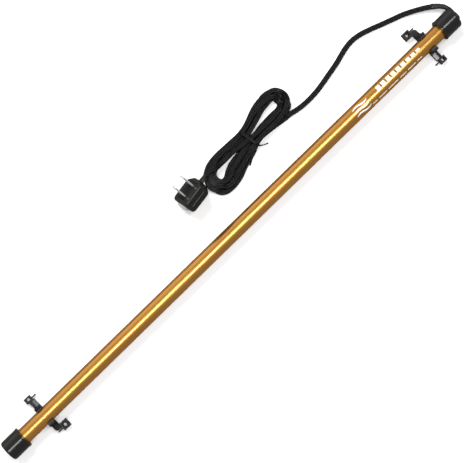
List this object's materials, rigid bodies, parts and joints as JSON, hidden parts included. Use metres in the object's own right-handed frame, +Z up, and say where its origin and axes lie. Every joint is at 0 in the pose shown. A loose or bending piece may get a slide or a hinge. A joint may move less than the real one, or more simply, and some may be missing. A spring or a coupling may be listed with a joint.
{
  "type": "tube heater",
  "caption": "Long sealed gold tube heater with black end caps, sliding clip-on brackets, and a flat lead tied in a hank with a two-blade plug.",
  "frame": {"origin": "Midway between the two end faces, on the surface that the two brackets stand on.", "axes": "+X along the tube towards the end that the cord leaves, +Z up from the brackets' feet to the tube."},
  "size_m": [0.6138, 0.1027, 0.0295],
  "materials": {
    "gold_tube": "satin gold anodised",
    "black_plastic": "moulded black, semi-gloss",
    "black_cable": "soft black cable sheath",
    "grey_pad": "light grey soft pad",
    "dark_liner": "dark grey grip liner",
    "seal_rubber": "red-brown silicone",
    "nickel": "nickel-plated",
    "glass_fibre": "woven glass fibre",
    "resistance_wire": "dull resistance wire",
    "copper": "tinned copper lead"
  },
  "bodies": {
    "heater": {"outer_tube": "gold_tube", "cord_end_cap": "black_plastic", "closed_end_cap": "black_plastic", "cord_end_seal": "seal_rubber", "closed_end_seal": "seal_rubber", "cord_end_o_ring": "black_cable", "closed_end_o_ring": "black_cable", "element_core": "glass_fibre", "heating_coil": "resistance_wire", "cord_end_ferrule": "nickel", "closed_end_ferrule": "nickel", "insulating_sleeve": "glass_fibre", "spacer_1": "seal_rubber", "spacer_2": "seal_rubber", "spacer_3": "seal_rubber", "thermal_fuse": "nickel", "fuse_sleeve": "glass_fibre", "live_crimp": "nickel", "neutral_crimp": "nickel", "live_wire": "copper", "neutral_wire": "copper", "return_wire": "copper", "cord_elbow": "black_plastic", "cord_lead": "black_cable", "cord_hank": "black_cable", "cord_tail": "black_cable", "hank_tie": "black_plastic", "plug_body": "black_plastic", "plug_face_plate": "black_plastic", "plug_blade_1": "nickel", "plug_blade_2": "nickel", "plug_relief": "black_plastic", "plug_thumb_pad": "grey_pad"},
    "cord_end_grip": {"cord_end_bracket_liner": "dark_liner"},
    "cord_end_clip": {"cord_end_bracket": "black_plastic", "cord_end_bracket_pad_1": "grey_pad", "cord_end_bracket_pad_2": "grey_pad"},
    "closed_end_grip": {"closed_end_bracket_liner": "dark_liner"},
    "closed_end_clip": {"closed_end_bracket": "black_plastic", "closed_end_bracket_pad_1": "grey_pad", "closed_end_bracket_pad_2": "grey_pad"}
  },
  "joints": [
    {"name": "cord_end_slide", "type": "slide", "parent": "heater", "child": "cord_end_grip", "axis": [1, 0, 0], "range_m": [-0.235, 0.0125]},
    {"name": "cord_end_turn", "type": "hinge", "parent": "cord_end_grip", "child": "cord_end_clip", "pos_m": [0.267, 0, 0.012], "axis": [1, 0, 0], "continuous": true},
    {"name": "closed_end_slide", "type": "slide", "parent": "heater", "child": "closed_end_grip", "axis": [-1, 0, 0], "range_m": [-0.235, 0.0235]},
    {"name": "closed_end_turn", "type": "hinge", "parent": "closed_end_grip", "child": "closed_end_clip", "pos_m": [-0.256, 0, 0.012], "axis": [-1, 0, 0], "continuous": true}
  ]
}
